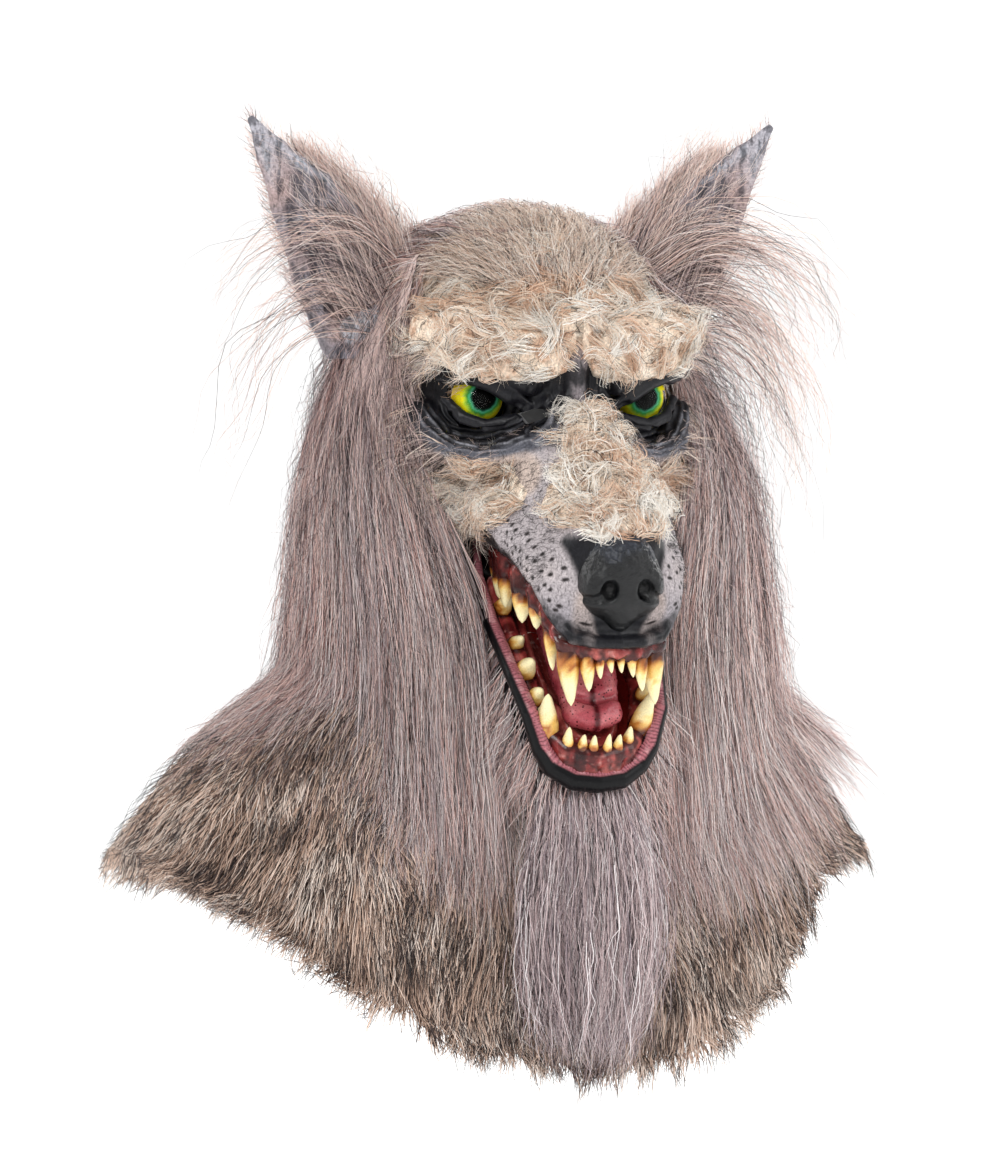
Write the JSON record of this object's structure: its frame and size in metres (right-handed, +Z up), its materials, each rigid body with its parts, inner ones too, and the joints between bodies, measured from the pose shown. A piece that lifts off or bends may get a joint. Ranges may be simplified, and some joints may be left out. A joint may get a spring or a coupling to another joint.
{
  "type": "wolf mask",
  "caption": "Over-the-head latex wolf mask with open toothed jaws, glossy eyes, pointed ears, long mane and a fur shoulder bib; the lower jaw flexes a few degrees.",
  "frame": {"origin": "centre of the wearer's head, inside the mask at eye height", "axes": "+Z up along the wearer's head, the wolf's muzzle points to -Y, +X is the wearer's left"},
  "size_m": [0.4955, 0.3665, 0.5581],
  "materials": {
    "latex_skin": "matte airbrushed latex",
    "nose_latex": "glossy black latex",
    "ear_latex": "matte airbrushed latex",
    "jaw_latex": "satin dark latex",
    "gum_latex": "glossy red latex",
    "tongue_latex": "glossy red latex",
    "teeth": "glossy ivory with brown roots",
    "clear_dome": "clear gloss",
    "painted_eye": "painted iris",
    "black_gauze": "fine gauze",
    "foam": "soft foam",
    "wool": "crimped wool",
    "mane_hair": "long straight synthetic hair",
    "beard_hair": "long straight synthetic hair",
    "fur_cloth": "faux fur with dark tips",
    "lining_cloth": "plain woven cloth"
  },
  "bodies": {
    "head": {"face_latex": "latex_skin", "nose_pad": "nose_latex", "muzzle_foam": "foam", "forehead_pad": "foam", "crown_pad": "foam", "palate": "gum_latex", "upper_gum": "gum_latex", "upper_incisors": "teeth", "neck_band": "lining_cloth", "bib_front": "fur_cloth", "bib_back": "fur_cloth", "bib_lining": "lining_cloth", "beard": "beard_hair", "crown_wool": "wool", "muzzle_wool": "wool", "mane_back": "mane_hair", "eye_dome_left": "clear_dome", "eye_dome_right": "clear_dome", "eye_back_left": "painted_eye", "eye_back_right": "painted_eye", "vision_mesh_left": "black_gauze", "vision_mesh_right": "black_gauze", "ear_left": "ear_latex", "ear_right": "ear_latex", "ear_tuft_left": "mane_hair", "ear_tuft_right": "mane_hair", "upper_canine_left": "teeth", "upper_canine_right": "teeth", "upper_cheek_teeth_left": "teeth", "upper_cheek_teeth_right": "teeth", "brow_wool_left": "wool", "brow_wool_right": "wool", "mane_left": "mane_hair", "mane_right": "mane_hair"},
    "jaw": {"jaw_latex": "jaw_latex", "lower_gum": "gum_latex", "lower_incisors": "teeth", "lower_canine_left": "teeth", "lower_canine_right": "teeth", "lower_cheek_teeth_left": "teeth", "lower_cheek_teeth_right": "teeth", "tongue": "tongue_latex"}
  },
  "joints": [
    {"name": "jaw_flex", "type": "hinge", "parent": "head", "child": "jaw", "pos_m": [0, -0.062, -0.08], "axis": [1, 0, 0], "range_deg": [-5, 5], "stiffness_Nm_per_rad": 4}
  ]
}
